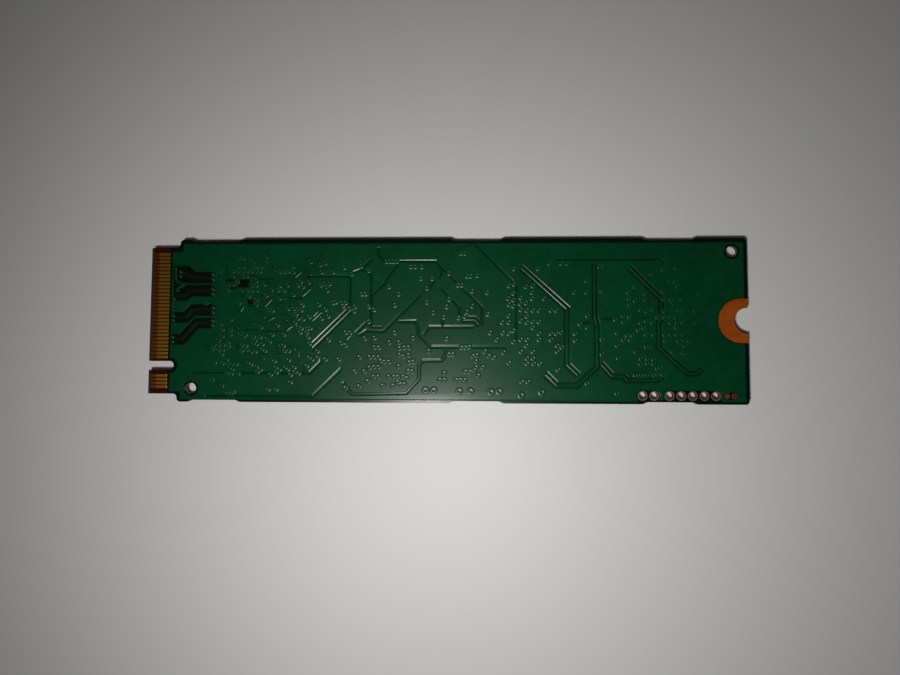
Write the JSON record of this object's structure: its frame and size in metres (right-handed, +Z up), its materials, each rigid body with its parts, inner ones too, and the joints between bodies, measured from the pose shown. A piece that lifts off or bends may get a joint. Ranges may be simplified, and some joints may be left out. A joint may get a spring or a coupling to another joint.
{
  "type": "m2 nvme ssd",
  "caption": "Thin green plug-in storage card lying on its chips: edge connector with key slot at one end, plated half-round screw notch at the other, copper pours and traces on the bare side.",
  "frame": {"origin": "middle of the card's outline, on the plane of the chips' tops that it lies on", "axes": "+X from the edge connector to the screw notch, +Y across the card away from the key slot's side, +Z up through the bare rear side"},
  "size_m": [0.08, 0.022, 0.0021],
  "materials": {
    "board_laminate": "glass-epoxy laminate under dark green solder mask, red-brown and bare at the contacts",
    "masked_copper": "copper under glossy green solder mask",
    "contact_gold": "gold plating, worn by insertion",
    "bare_copper": "bare copper with a protective finish",
    "chip_substrate": "green chip carrier",
    "mould_compound": "black moulded epoxy, fine matt texture",
    "solder": "reflowed solder",
    "ferrite": "pressed metal powder, matt",
    "capacitor_ceramic": "fired tan ceramic",
    "resistor_ceramic": "black glaze over white ceramic",
    "tinned_metal": "tin plated, satin",
    "crystal_ceramic": "fired brown ceramic",
    "crystal_lid_metal": "plated metal lid"
  },
  "bodies": {
    "root": {"circuit_board": "board_laminate", "rear_pour": "masked_copper", "rear_traces": "masked_copper", "rear_contacts": "contact_gold", "front_contacts": "contact_gold", "screw_land": "bare_copper", "header_barrels": "bare_copper", "test_pads": "bare_copper", "controller_substrate": "chip_substrate", "dram_substrate": "chip_substrate", "nand_a_substrate": "chip_substrate", "nand_b_substrate": "chip_substrate", "controller_mould": "mould_compound", "dram_mould": "mould_compound", "nand_a_mould": "mould_compound", "nand_b_mould": "mould_compound", "power_controller_body": "mould_compound", "controller_balls": "solder", "dram_balls": "solder", "nand_a_balls": "solder", "nand_b_balls": "solder", "power_controller_leads": "solder", "inductor_bodies": "ferrite", "bulk_capacitor_bodies": "capacitor_ceramic", "coupling_capacitor_bodies": "capacitor_ceramic", "decoupling_capacitor_bodies": "capacitor_ceramic", "resistor_bodies": "resistor_ceramic", "inductor_terminals": "tinned_metal", "bulk_capacitor_terminals": "tinned_metal", "coupling_capacitor_terminals": "tinned_metal", "decoupling_capacitor_terminals": "tinned_metal", "resistor_terminals": "tinned_metal", "crystal_base": "crystal_ceramic", "crystal_lid": "crystal_lid_metal"}
  },
  "joints": []
}
